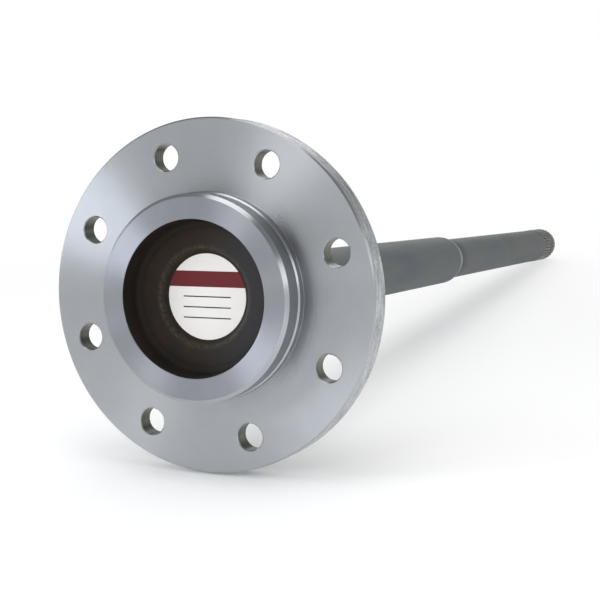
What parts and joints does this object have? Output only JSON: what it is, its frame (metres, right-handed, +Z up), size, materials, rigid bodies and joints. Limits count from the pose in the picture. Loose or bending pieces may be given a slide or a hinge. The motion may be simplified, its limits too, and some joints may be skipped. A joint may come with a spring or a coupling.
{
  "type": "axle shaft",
  "caption": "Semi-floating axle shaft: drilled wheel flange with a dished pilot, ground journals, a stepped forged shaft and a splined inner end with a clip groove.",
  "frame": {"origin": "centre of the face that the wheel sits on, on the shaft's axis", "axes": "+Y along the shaft to its splined inner end, -Y out of the wheel side, +Z up"},
  "size_m": [0.2014, 0.8652, 0.2014],
  "materials": {
    "turned_steel": "turned flange, dark forged shaft",
    "label_paper": "satin white paper"
  },
  "bodies": {
    "root": {"axle_shaft": "turned_steel", "round_label": "label_paper"}
  },
  "joints": []
}
